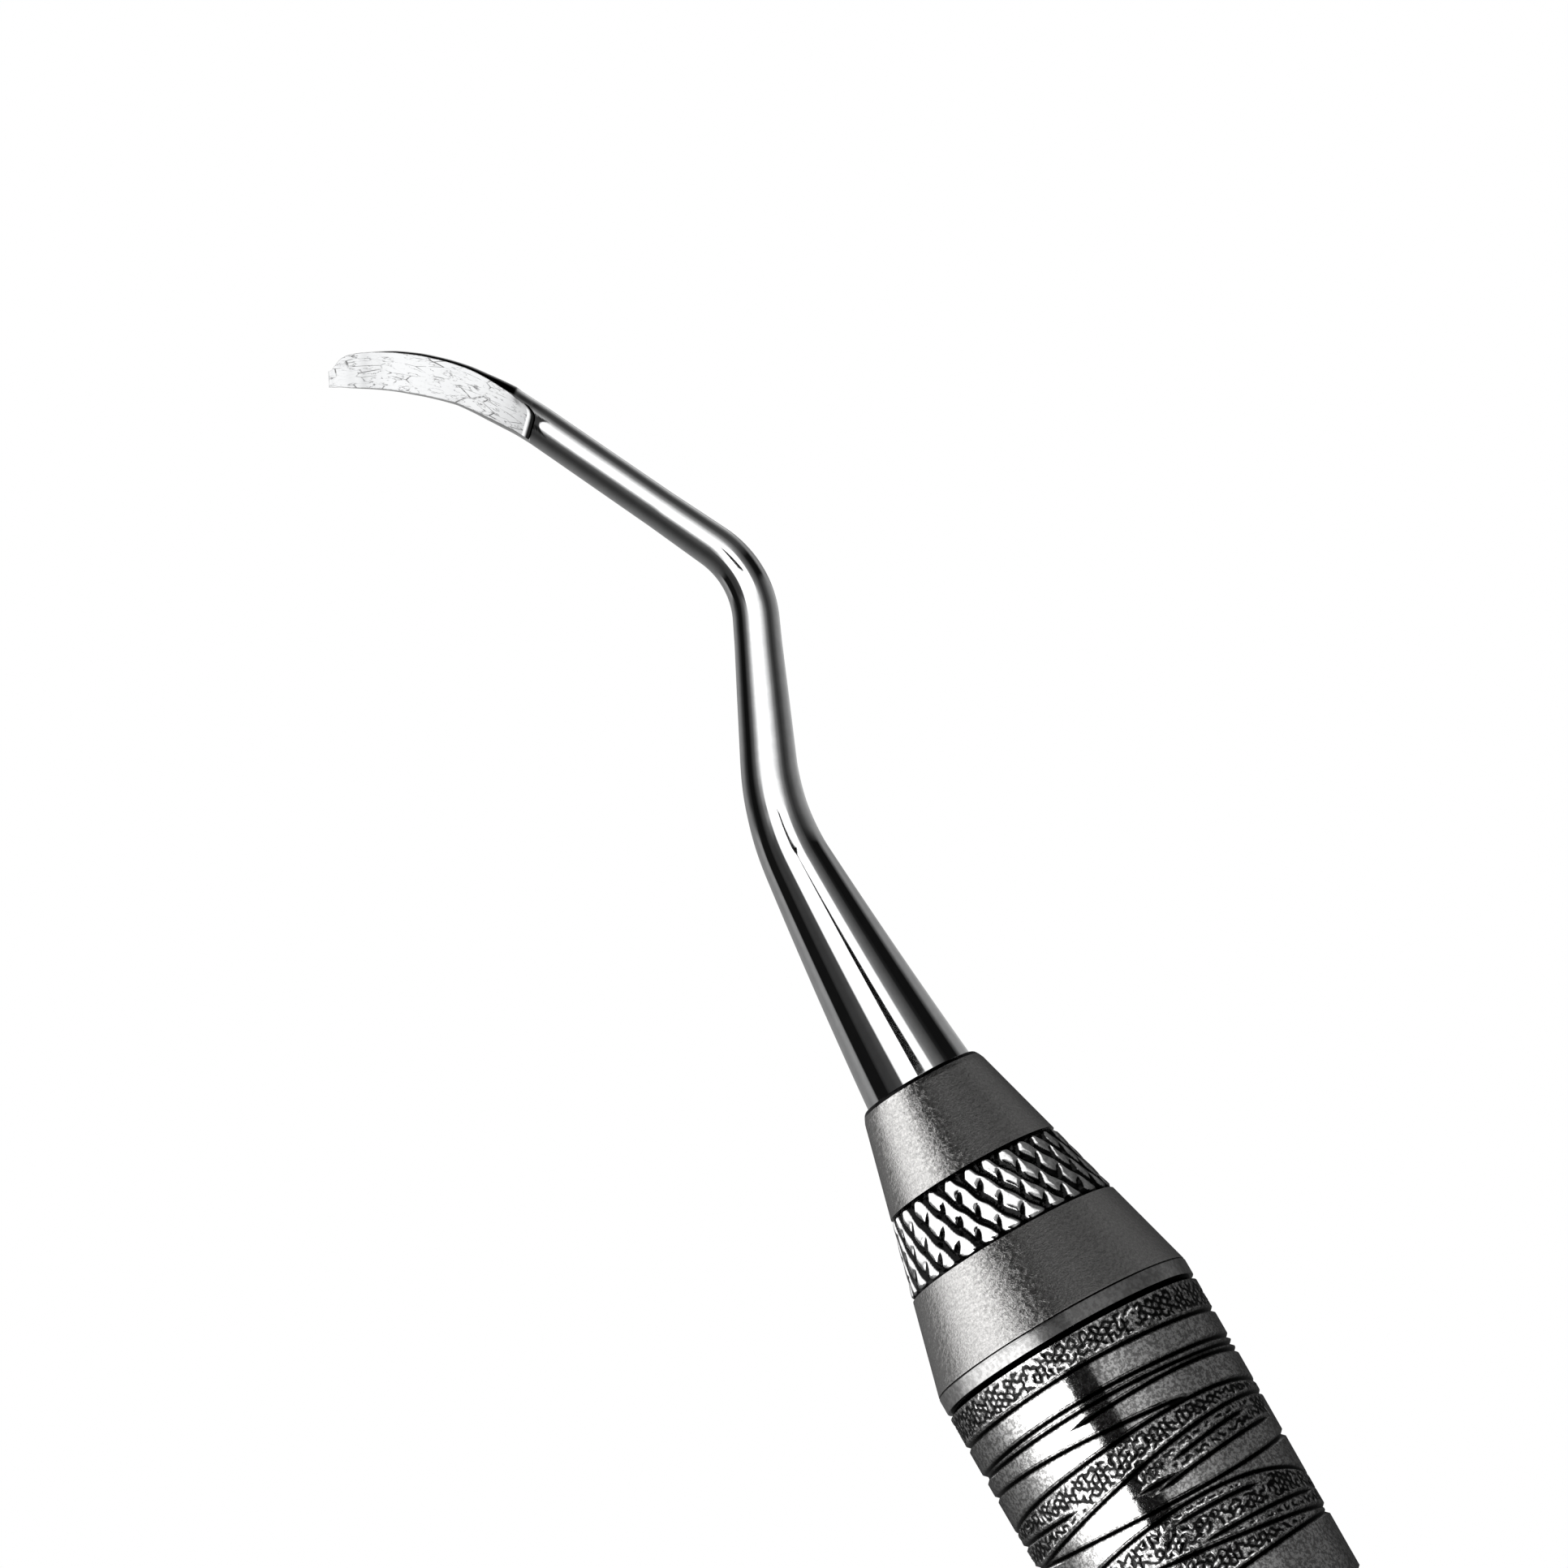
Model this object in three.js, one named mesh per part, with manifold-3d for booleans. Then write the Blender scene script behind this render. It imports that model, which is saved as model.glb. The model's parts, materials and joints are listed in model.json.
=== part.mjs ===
// A double-ended hand scaler: a knurled tubular handle with a screwed-in working end at each end.
// Millimetres. The instrument lies on a surface: X runs along the handle, +Z is up, and the origin
// is on that surface, under the middle of the handle. Working end A points along +X. Every coaxial
// piece is drawn for end A, with x measured from mid-handle; end B is the same end turned half a
// turn about Z, with a mirror-image blade, as the two ends of a paired instrument are.
import * as THREE from "three";
import { mergeVertices } from "three/addons/utils/BufferGeometryUtils.js";
import Module from "manifold-3d";

const wasm = await Module();
wasm.setup();

// Handle
const SIDES = 32; // facets round each coaxial piece, with one of them facing straight down
const HANDLE_R = 4.75; // 9.5 mm handle
const WAIST_R = 4.575; // the handle narrows slightly towards its middle
const SHOULDER = 3.2; // length of each cylindrical shoulder
const BORE_R = 3.88;
const TUBE_END = 46.79;
const RING_GROOVES = [45.56, 44.42, 43.2]; // plain ring grooves at each shoulder
const GROOVE = { width: 0.22, depth: 0.14 };
const FIT = 0.02; // gap between faces that touch
const AXIS_Z = HANDLE_R * Math.cos(Math.PI / SIDES); // height of the axis over the surface

// Screw joint between the end bush and the nose cone
const PITCH = 1;
const THREAD_R = 3; // outer radius of the male thread
const CREST = 0.125; // axial width of the thread's crest
const ROOT = 0.25; // axial width of its root
const THREAD_DEPTH = (PITCH - CREST - ROOT) / 2 / Math.tan(Math.PI / 6);
const THREAD_CLEARANCE = 0.08;
const THREAD_SIDES = 24;
const BUSH_START = 41.7;
const MALE_START = 42.4;
const MALE_END = 46.45;
const FLANGE_FACE = 47.48;
const SEAL_SEAT = { floor: 46.73, radius: 3.6 };
const NECK_R = 2.75;
const RELIEF_R = THREAD_R - THREAD_DEPTH - 0.06;

// Nose cone, knurled ring and pin
const NOSE_BASE = 47.52;
const NOSE_RIM = { x: 57.07, radius: 2.2 };
const CONE_SLOPE = 0.2633;
const RING = { start: 50.75, end: 53.52, thickness: 0.35, teeth: 44, rows: 6, relief: 0.06 };
const RING_GROOVE_DEPTH = RING.thickness + FIT;
const PIN = { x: 52.2, radius: 0.39, halfLength: 3.03, sides: 12 };

// Working end: tang, shank and blade in one piece
const TANG = { start: 43.15, radius: 1.245, coneStart: 54.2 };
const SHANK_MOUTH_R = 1.925; // where the shank leaves the nose cone
const SOCKET_GAP = 0.025;
const SHANK_SIDES = 16;
// The centreline from the tang's inner end, as [length, turn in degrees] pieces.
const CENTRELINE = [
  [13.92, 0],
  [8.33, -1.96],
  [3.75, -22.92],
  [4.8, 0],
  [2.94, 50.1],
  [7.06, 0],
  [7.09, 37.53],
  [0.48, 0],
];
const DEGREES_PER_STEP = 6.5;
// Shank radius against the distance from the nose cone's mouth.
const SHANK_TAPER = [
  [0, SHANK_MOUTH_R],
  [10.9, 1.0],
  [14.5, 0.87],
  [18.5, 0.77],
  [22, 0.68],
  [31.5, 0.7],
];
const BLADE = { length: 7.7, toeRound: 0.55, faceHeight: 0.1, faceTilt: 12, ramp: 0.9 };

const steel = { color: 0xb9bbbd, metalness: 1 };
const satinSteel = { ...steel, roughness: 0.42 };
const polishedSteel = { ...steel, roughness: 0.14 };
const sealRubber = { color: 0x1b1b1c, metalness: 0, roughness: 0.75 };

// ---- shared mesh work ----

// The geometry with shared vertices merged and collapsed triangles dropped.
function closed(geometry) {
  const bare = geometry.clone();
  bare.deleteAttribute("normal");
  bare.deleteAttribute("uv");
  const merged = mergeVertices(bare, 1e-5);
  const kept = [];
  const corners = merged.index.array;
  for (let i = 0; i < corners.length; i += 3) {
    const [a, b, c] = [corners[i], corners[i + 1], corners[i + 2]];
    if (a !== b && b !== c && a !== c) kept.push(a, b, c);
  }
  merged.setIndex(kept);
  return merged;
}

function solid(geometry) {
  const merged = closed(geometry);
  return new wasm.Manifold(
    new wasm.Mesh({
      numProp: 3,
      vertProperties: new Float32Array(merged.attributes.position.array),
      triVerts: new Uint32Array(merged.index.array),
    }),
  );
}

function geometryOf(manifold) {
  const { vertProperties, triVerts } = manifold.getMesh();
  const geometry = new THREE.BufferGeometry();
  geometry.setAttribute("position", new THREE.BufferAttribute(vertProperties, 3));
  geometry.setIndex(new THREE.BufferAttribute(triVerts, 1));
  geometry.computeVertexNormals();
  return geometry;
}

// A turned piece: [x, radius] points from its low-x end to its high-x end, revolved about X. The
// first and last points are on the axis, or the outline closes on itself.
function turned(outline, sides = SIDES) {
  const points = outline.map(([x, radius]) => new THREE.Vector2(radius, x));
  const geometry = new THREE.LatheGeometry(points, sides, Math.PI / sides);
  return geometry.rotateZ(-Math.PI / 2);
}

function geometryFrom(positions, triangles) {
  const geometry = new THREE.BufferGeometry();
  geometry.setAttribute("position", new THREE.Float32BufferAttribute(positions, 3));
  geometry.setIndex(triangles);
  return geometry;
}

function mesh(name, geometry, look) {
  const piece = new THREE.Mesh(geometry, new THREE.MeshStandardMaterial(look));
  piece.name = name;
  return piece;
}

// ---- handle ----

function grooveAt(x, radius) {
  const half = GROOVE.width / 2;
  return [
    [x - half, radius],
    [x, radius - GROOVE.depth],
    [x + half, radius],
  ];
}

function handleTube() {
  const chamfer = 0.1;
  const half = [];
  for (const x of [0, 9, 18, 27, 36, TUBE_END - SHOULDER]) {
    const share = x / (TUBE_END - SHOULDER);
    half.push([x, WAIST_R + (HANDLE_R - WAIST_R) * share ** 2]);
  }
  for (const x of [...RING_GROOVES].reverse()) half.push(...grooveAt(x, HANDLE_R));
  half.sort((p, q) => p[0] - q[0]);
  half.push([TUBE_END - chamfer, HANDLE_R], [TUBE_END, HANDLE_R - 0.17], [TUBE_END, BORE_R]);
  const other = half.slice(1).reverse().map(([x, r]) => [-x, r]);
  const outline = [...other, ...half];
  outline.push(outline[0]);
  return closed(turned(outline));
}

// ---- thread ----

// A right-handed screw surface as a closed solid along X. Its rows of points follow the helix, so
// after a full turn each row meets the row one pitch on.
function screwGeometry(start, turns, crestR) {
  const rootR = crestR - THREAD_DEPTH;
  const flank = (PITCH - CREST - ROOT) / 2;
  const corners = [
    [0, rootR],
    [ROOT, rootR],
    [ROOT + flank, crestR],
    [ROOT + flank + CREST, crestR],
  ];
  const perTurn = corners.length;
  const rows = perTurn * turns + 1;
  const positions = [];
  for (let i = 0; i < THREAD_SIDES; i += 1) {
    const angle = (2 * Math.PI * i) / THREAD_SIDES;
    for (let j = 0; j < rows; j += 1) {
      const [along, radius] = corners[j % perTurn];
      const x = start + PITCH * (Math.floor(j / perTurn) + i / THREAD_SIDES) + along;
      positions.push(x, radius * Math.cos(angle), radius * Math.sin(angle));
    }
  }
  const at = (i, j) => (i < THREAD_SIDES ? i * rows + j : j + perTurn);
  const triangles = [];
  for (let i = 0; i < THREAD_SIDES; i += 1) {
    const last = i === THREAD_SIDES - 1 ? rows - 1 - perTurn : rows - 1;
    for (let j = 0; j < last; j += 1) {
      triangles.push(at(i, j), at(i + 1, j), at(i + 1, j + 1));
      triangles.push(at(i, j), at(i + 1, j + 1), at(i, j + 1));
    }
  }
  const lowRim = [];
  const highRim = [];
  for (let i = 0; i < THREAD_SIDES; i += 1) {
    lowRim.push(at(i, 0));
    highRim.push(at(i, rows - 1));
  }
  for (let j = perTurn; j > 0; j -= 1) lowRim.push(at(0, j));
  for (let j = 1; j <= perTurn; j += 1) highRim.push(at(THREAD_SIDES - 1, rows - 1 - j));
  const lowCentre = positions.length / 3;
  positions.push(start + PITCH / 2, 0, 0, start + PITCH * (turns + 0.5), 0, 0);
  lowRim.forEach((a, k) => triangles.push(lowCentre, lowRim[(k + 1) % lowRim.length], a));
  highRim.forEach((a, k) => triangles.push(lowCentre + 1, a, highRim[(k + 1) % highRim.length]));
  return geometryFrom(positions, triangles);
}

// The screw between two planes, with its ends chamfered down to endR.
function thread(start, end, crestR, endR) {
  const margin = 1.5 * PITCH;
  const phase = MALE_START - 2 * PITCH;
  const turns = Math.ceil((end - phase + margin) / PITCH);
  const blank = turned([
    [start, 0],
    [start, endR],
    [start + Math.abs(crestR - endR), crestR + 0.02],
    [end - Math.abs(crestR - endR), crestR + 0.02],
    [end, endR],
    [end, 0],
  ]);
  return solid(screwGeometry(phase, turns, crestR)).intersect(solid(blank));
}

// ---- end bush and seal ring ----

function endBush(end) {
  const bodyR = BORE_R - 0.05;
  const grooveFloor = HANDLE_R - 0.17;
  const body = turned([
    [BUSH_START, 0],
    [BUSH_START, bodyR - 0.2],
    [BUSH_START + 0.3, bodyR],
    [TUBE_END + FIT, bodyR],
    [TUBE_END + FIT, grooveFloor],
    [TUBE_END + FIT + 0.11, HANDLE_R],
    [FLANGE_FACE - 0.04, HANDLE_R],
    [FLANGE_FACE, HANDLE_R - 0.04],
    [FLANGE_FACE, SEAL_SEAT.radius],
    [SEAL_SEAT.floor, SEAL_SEAT.radius],
    [SEAL_SEAT.floor, 0],
  ]);
  const crestR = THREAD_R + THREAD_CLEARANCE;
  const tapped = solid(body).subtract(
    thread(BUSH_START - 0.5, SEAL_SEAT.floor + 0.3, crestR, crestR + 0.01),
  );
  return mesh(`end_bush_${end}`, geometryOf(tapped), polishedSteel);
}

function sealRing(end) {
  const section = 0.36;
  const centre = { x: SEAL_SEAT.floor + section + FIT, radius: 3.17 };
  const outline = [];
  const points = 8;
  for (let i = 0; i < points; i += 1) {
    const angle = (-2 * Math.PI * (i + 0.5)) / points;
    outline.push([centre.x + section * Math.cos(angle), centre.radius + section * Math.sin(angle)]);
  }
  outline.push(outline[0]);
  return mesh(`seal_ring_${end}`, closed(turned(outline, 24)), sealRubber);
}

// ---- nose cone, knurled ring and pin ----

const coneRadius = (x) => NOSE_RIM.radius + CONE_SLOPE * (NOSE_RIM.x - x);

function crossPin(radius, halfLength) {
  const pin = new THREE.CylinderGeometry(radius, radius, 2 * halfLength, PIN.sides);
  return pin.translate(PIN.x, 0, 0);
}

function noseCone(end) {
  const edge = 0.05;
  const groove = (x) => coneRadius(x) - RING_GROOVE_DEPTH;
  const body = turned([
    [MALE_START, 0],
    [MALE_START, RELIEF_R],
    [SEAL_SEAT.floor + 0.07, RELIEF_R],
    [SEAL_SEAT.floor + 0.07, NECK_R],
    [NOSE_BASE, NECK_R],
    [NOSE_BASE, coneRadius(NOSE_BASE) - edge],
    [NOSE_BASE + edge, coneRadius(NOSE_BASE + edge)],
    [RING.start, coneRadius(RING.start)],
    [RING.start, groove(RING.start)],
    [RING.end, groove(RING.end)],
    [RING.end, coneRadius(RING.end)],
    [NOSE_RIM.x - edge, coneRadius(NOSE_RIM.x - edge)],
    [NOSE_RIM.x, NOSE_RIM.radius - edge],
    [NOSE_RIM.x, 0],
  ]);
  const past = 0.2;
  const mouthSlope = (SHANK_MOUTH_R - TANG.radius) / (NOSE_RIM.x - TANG.coneStart);
  const socket = turned(
    [
      [TANG.start - 0.15, 0],
      [TANG.start - 0.15, TANG.radius + SOCKET_GAP],
      [TANG.coneStart, TANG.radius + SOCKET_GAP],
      [NOSE_RIM.x + past, SHANK_MOUTH_R + SOCKET_GAP + mouthSlope * past],
      [NOSE_RIM.x + past, 0],
    ],
    24,
  );
  const cone = solid(body)
    .add(thread(MALE_START, MALE_END, THREAD_R, THREAD_R - THREAD_DEPTH))
    .subtract(solid(socket))
    .subtract(solid(crossPin(PIN.radius + 0.03, coneRadius(PIN.x))));
  return mesh(`nose_cone_${end}`, geometryOf(cone), satinSteel);
}

// The ring's outside is a lattice of raised and sunk points, offset from row to row, so that its
// faces make the diamonds of a coarse knurl.
function knurlRing(end) {
  const positions = [];
  const rings = [];
  const addRing = (x, radiusAt) => {
    rings.push(positions.length / 3);
    for (let i = 0; i < RING.teeth; i += 1) {
      const angle = (2 * Math.PI * i) / RING.teeth;
      const radius = radiusAt(i);
      positions.push(x, radius * Math.cos(angle), radius * Math.sin(angle));
    }
  };
  const inner = (x) => coneRadius(x) - RING.thickness + 0.01;
  const [low, high] = [RING.start + FIT, RING.end - FIT];
  addRing(low, () => inner(low));
  for (let row = 0; row < RING.rows; row += 1) {
    const x = low + ((high - low) * row) / (RING.rows - 1);
    addRing(x, (i) => coneRadius(x) - ((i + row) % 2 ? 0 : RING.relief));
  }
  addRing(high, () => inner(high));
  const triangles = [];
  rings.forEach((ring, k) => {
    const next = rings[(k + 1) % rings.length];
    for (let i = 0; i < RING.teeth; i += 1) {
      const j = (i + 1) % RING.teeth;
      triangles.push(ring + i, ring + j, next + j);
      triangles.push(ring + i, next + j, next + i);
    }
  });
  return mesh(`knurl_ring_${end}`, geometryFrom(positions, triangles), polishedSteel);
}

function tangPin(end) {
  return mesh(`tang_pin_${end}`, closed(crossPin(PIN.radius, PIN.halfLength)), polishedSteel);
}

// ---- working end ----

const mouthAt = NOSE_RIM.x - TANG.start; // distance along the centreline to the cone's mouth
const pathLength = CENTRELINE.reduce((sum, [length]) => sum + length, 0);

// The centreline's place and heading at a distance along it.
function onCentreline(distance) {
  const place = { x: TANG.start, y: 0, heading: 0 };
  let left = distance;
  for (const [length, degrees] of CENTRELINE) {
    const run = Math.min(left, length);
    const turn = (THREE.MathUtils.degToRad(degrees) * run) / length;
    const chord = turn ? (run * Math.sin(turn / 2)) / (turn / 2) : run;
    place.x += chord * Math.cos(place.heading + turn / 2);
    place.y += chord * Math.sin(place.heading + turn / 2);
    place.heading += turn;
    left -= run;
  }
  return place;
}

function taperAt(distance) {
  const k = SHANK_TAPER.findIndex(([d]) => d >= distance);
  if (k <= 0) return SHANK_TAPER.at(k)[1];
  const [[d0, r0], [d1, r1]] = [SHANK_TAPER[k - 1], SHANK_TAPER[k]];
  return r0 + ((r1 - r0) * (distance - d0)) / (d1 - d0);
}

// Distances along the centreline where the blank needs a ring of points.
function stations() {
  const found = [TANG.start, TANG.start + 0.15, TANG.coneStart].map((x) => x - TANG.start);
  found.push(mouthAt, mouthAt + 3.6);
  let start = 0;
  for (const [length, degrees] of CENTRELINE) {
    const steps = Math.max(1, Math.ceil(Math.abs(degrees) / DEGREES_PER_STEP));
    for (let k = 1; k <= steps; k += 1) found.push(start + (length * k) / steps);
    start += length;
  }
  return found.sort((a, b) => a - b).filter((s) => s < pathLength - BLADE.toeRound);
}

function blankRadius(distance) {
  if (distance < 0.1) return TANG.radius - 0.15; // the tang's end is chamfered
  const coneAt = TANG.coneStart - TANG.start;
  if (distance <= coneAt) return TANG.radius;
  if (distance >= mouthAt) return taperAt(distance - mouthAt);
  const share = (distance - coneAt) / (mouthAt - coneAt);
  return TANG.radius + (SHANK_MOUTH_R - TANG.radius) * share;
}

function shankBlank() {
  const outline = [[0, 0]];
  for (const s of stations()) outline.push([s, blankRadius(s)]);
  const toeR = blankRadius(pathLength);
  for (const degrees of [0, 30, 55, 75]) {
    const angle = THREE.MathUtils.degToRad(degrees);
    const s = pathLength - BLADE.toeRound * (1 - Math.sin(angle));
    outline.push([s, toeR * Math.cos(angle)]);
  }
  outline.push([pathLength, 0]);
  return turned(outline, SHANK_SIDES);
}

// The straight blank's points carried onto the centreline.
function bent(geometry) {
  const position = geometry.attributes.position;
  for (let i = 0; i < position.count; i += 1) {
    const { x, y, heading } = onCentreline(position.getX(i));
    const side = position.getY(i);
    position.setX(i, x - side * Math.sin(heading));
    position.setY(i, y + side * Math.cos(heading));
  }
  return geometry;
}

// What grinding takes off the blade: everything above a tilted flat, with a ramp up at the heel.
function faceGrind() {
  const middle = onCentreline(pathLength - BLADE.length / 2);
  const reach = BLADE.length / 2;
  const height = 3;
  const side = new THREE.Shape([
    new THREE.Vector2(-reach, BLADE.faceHeight),
    new THREE.Vector2(reach + 2, BLADE.faceHeight),
    new THREE.Vector2(reach + 2, height),
    new THREE.Vector2(-reach - BLADE.ramp * height, height),
  ]);
  const width = 6;
  const tool = new THREE.ExtrudeGeometry(side, { depth: width, bevelEnabled: false });
  tool.translate(0, 0, -width / 2).rotateX(Math.PI / 2);
  tool.rotateX(THREE.MathUtils.degToRad(-BLADE.faceTilt));
  return tool.rotateZ(middle.heading).translate(middle.x, middle.y, 0);
}

function bladeAndShank(end) {
  const blade = solid(bent(shankBlank()))
    .subtract(solid(faceGrind()))
    .subtract(solid(crossPin(PIN.radius + 0.03, coneRadius(PIN.x))));
  return mesh(`blade_and_shank_${end}`, geometryOf(blade), polishedSteel);
}

// ---- assembly ----

function workingEnd(end) {
  const group = new THREE.Group();
  group.add(endBush(end), sealRing(end), noseCone(end), knurlRing(end), tangPin(end));
  group.add(bladeAndShank(end));
  return group;
}

const scaler = new THREE.Group();
scaler.position.z = AXIS_Z;

const endA = workingEnd("a");
const endB = workingEnd("b");
endB.rotation.z = Math.PI;
endB.children.at(-1).scale.z = -1;
scaler.add(mesh("handle_tube", handleTube(), satinSteel), endA, endB);

export default scaler;
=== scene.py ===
"""The looks of a double-ended hand scaler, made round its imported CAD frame.

Shapes are worked out in millimetres with the handle's axis at height 0, and placed() turns them into
metres in the frame's own place. x runs along the handle, and angles go round it from the top (+Z)
towards -Y. Everything is made for working end A; end B is the same end turned half a turn about Z,
with a blade that is end A's mirror image.
"""

import json
import math

import bpy
import numpy as np
from mathutils import Matrix, Vector
from mathutils.geometry import delaunay_2d_cdt

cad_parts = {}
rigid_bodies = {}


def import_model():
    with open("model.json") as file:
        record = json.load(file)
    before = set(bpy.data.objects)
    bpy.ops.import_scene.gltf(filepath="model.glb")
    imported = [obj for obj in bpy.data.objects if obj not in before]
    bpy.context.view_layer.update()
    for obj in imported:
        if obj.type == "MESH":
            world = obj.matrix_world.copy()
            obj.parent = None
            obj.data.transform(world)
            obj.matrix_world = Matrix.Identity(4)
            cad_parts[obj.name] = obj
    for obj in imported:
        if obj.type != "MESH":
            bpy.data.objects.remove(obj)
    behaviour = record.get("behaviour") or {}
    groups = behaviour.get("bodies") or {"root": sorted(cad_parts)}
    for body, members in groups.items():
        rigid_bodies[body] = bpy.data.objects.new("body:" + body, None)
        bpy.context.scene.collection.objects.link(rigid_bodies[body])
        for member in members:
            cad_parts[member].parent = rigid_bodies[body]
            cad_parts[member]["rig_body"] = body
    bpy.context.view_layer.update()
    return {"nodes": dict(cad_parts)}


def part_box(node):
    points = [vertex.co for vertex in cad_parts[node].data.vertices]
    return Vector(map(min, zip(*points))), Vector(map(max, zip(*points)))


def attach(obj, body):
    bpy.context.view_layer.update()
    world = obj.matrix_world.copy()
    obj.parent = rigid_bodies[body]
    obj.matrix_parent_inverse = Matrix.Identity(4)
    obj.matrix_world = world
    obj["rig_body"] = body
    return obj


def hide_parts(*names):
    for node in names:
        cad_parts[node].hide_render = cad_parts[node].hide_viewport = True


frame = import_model()

MM = 0.001

# Places read from the frame
TUBE_LOW, TUBE_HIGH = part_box("handle_tube")
AXIS_Z = (TUBE_LOW.z + TUBE_HIGH.z) / 2 / MM
TUBE_END = TUBE_HIGH.x / MM
HANDLE_R = (TUBE_HIGH.y - TUBE_LOW.y) / 2 / MM
MALE_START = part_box("nose_cone_a")[0].x / MM
NOSE_RIM_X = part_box("nose_cone_a")[1].x / MM
FLANGE_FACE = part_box("end_bush_a")[1].x / MM
BUSH_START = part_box("end_bush_a")[0].x / MM
RING_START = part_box("knurl_ring_a")[0].x / MM
RING_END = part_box("knurl_ring_a")[1].x / MM
TANG_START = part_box("blade_and_shank_a")[0].x / MM

# Shared sizes, in millimetres
WAIST_R = 4.575
BORE_R = 3.88
FIT = 0.02
SHOULDER_X = 47.12
NOSE_BASE = FLANGE_FACE + 0.04
NOSE_RIM_R = 2.2
CONE_SLOPE = 0.2633
THREAD_R = 3.0
THREAD_PITCH = 1.0
THREAD_DEPTH = 0.541
SHANK_MOUTH_R = 1.955

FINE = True


# ---- camera ----

FRAME_WIDTH = 52.36  # what the frame takes in at the handle's axis
CAMERA_DISTANCE = 1200
CAMERA_TILT = math.radians(7.3)  # how far the view leans towards the handle's middle
CAMERA_ROLL = math.radians(30)  # the handle's slant from upright in the frame
CENTRE_RIGHT, CENTRE_DOWN = 9.47, 18.54  # from the frame's centre to the shoulder's centre


def make_camera():
    along = Vector((math.cos(CAMERA_TILT), 0, math.sin(CAMERA_TILT)))
    back = Vector((-math.sin(CAMERA_TILT), 0, math.cos(CAMERA_TILT)))
    across = Vector((0, -1, 0))
    right = -math.sin(CAMERA_ROLL) * along + math.cos(CAMERA_ROLL) * across
    up = math.cos(CAMERA_ROLL) * along + math.sin(CAMERA_ROLL) * across
    shoulder = Vector((SHOULDER_X, 0, AXIS_Z))
    target = shoulder - CENTRE_RIGHT * right + CENTRE_DOWN * up
    camera = bpy.data.objects.new("camera", bpy.data.cameras.new("camera"))
    camera.data.lens = camera.data.sensor_width * CAMERA_DISTANCE / FRAME_WIDTH
    camera.data.clip_start, camera.data.clip_end = 0.05, 5
    turned = Matrix((right, up, back)).transposed().to_4x4()
    camera.matrix_world = Matrix.Translation((target + CAMERA_DISTANCE * back) * MM) @ turned
    bpy.context.scene.collection.objects.link(camera)
    bpy.context.scene.camera = camera


# ---- mesh work ----


def grid_faces(rows, columns, loop):
    """Quads of a grid of rings: columns wrap round, and rows too if loop is true."""
    row = np.arange(rows if loop else rows - 1)[:, None]
    column = np.arange(columns)[None, :]
    after = (column + 1) % columns
    below = (row + 1) % rows
    corners = [row * columns + column, row * columns + after, below * columns + after]
    corners.append(below * columns + column)
    return np.stack(np.broadcast_arrays(*corners), -1).reshape(-1, 4)


def ring_grid(points, loop):
    """Vertices and faces of rings of points; open ends are closed with a fan onto a middle point."""
    rows, columns = points.shape[:2]
    verts = points.reshape(-1, 3)
    faces = [tuple(f) for f in grid_faces(rows, columns, loop)]
    if not loop:
        for ring, step in ((0, 1), (rows - 1, -1)):
            middle = len(verts)
            verts = np.vstack([verts, points[ring].mean(0)])
            for k in range(columns):
                pair = (ring * columns + k, ring * columns + (k + 1) % columns)
                faces.append((middle, *pair[:: -step]))
    return verts, faces


def signed_volume(verts, faces):
    total = 0.0
    for size in (3, 4):
        chosen = np.array([f for f in faces if len(f) == size])
        for k in range(1, size - 1) if len(chosen) else ():
            a, b, c = (verts[chosen[:, i]] for i in (0, k, k + 1))
            total += (a * np.cross(b, c)).sum() / 6
    return total


def around(x, radius, columns):
    """Rings of points round the axis, from x and radius, each one value or one for each column."""
    angle = np.arange(columns) * 2 * math.pi / columns
    x, radius = np.broadcast_arrays(np.asarray(x, float), np.asarray(radius, float))
    if x.ndim == 1:
        x, radius = x[:, None], radius[:, None]
    x = np.broadcast_to(x, (len(x), columns))
    return np.stack([x, -radius * np.sin(angle), radius * np.cos(angle)], -1)


def placed(verts, end, mirrored):
    """Millimetres on the axis to metres in the frame, turned to end B where that is asked."""
    out = np.array(verts, float)
    if end == "b":
        out[:, :2] *= -1
        if mirrored:
            out[:, 2] *= -1
    out[:, 2] += AXIS_Z
    return out * MM


def make_piece(name, node, verts, faces, material, crease=35, mirrored=False):
    """A finished piece that stands for a CAD node and rides on that node's body."""
    end = node[-1]
    flip = mirrored and end == "b"
    if (signed_volume(verts, faces) < 0) != flip:
        faces = [tuple(f)[::-1] for f in faces]
    mesh = bpy.data.meshes.new(name)
    mesh.from_pydata(placed(verts, end, mirrored).tolist(), [], [tuple(map(int, f)) for f in faces])
    mesh.shade_smooth()
    if crease:
        mesh.set_sharp_from_angle(angle=math.radians(crease))
    mesh.materials.append(material)
    piece = bpy.data.objects.new(name, mesh)
    bpy.context.scene.collection.objects.link(piece)
    body = frame["nodes"][node]["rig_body"]
    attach(piece, body)
    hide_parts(node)
    return piece


def add_value(piece, name, values):
    """Stores one number for each vertex, for the material to read."""
    layer = piece.data.attributes.new(name, "FLOAT", "POINT")
    layer.data.foreach_set("value", np.asarray(values, np.float32))


def fillet(x0, r0, x1, r1, bend, steps=4):
    """Points of an eased corner from one outline point to another, bulging towards bend."""
    t = np.linspace(0, 1, steps + 1)
    x = (1 - t) ** 2 * x0 + 2 * t * (1 - t) * bend[0] + t**2 * x1
    r = (1 - t) ** 2 * r0 + 2 * t * (1 - t) * bend[1] + t**2 * r1
    return list(zip(x, r))


def stretch(x0, x1, step):
    """Evenly spaced places from x0 to x1."""
    return np.linspace(x0, x1, max(2, int(abs(x1 - x0) / step) + 1))


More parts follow.
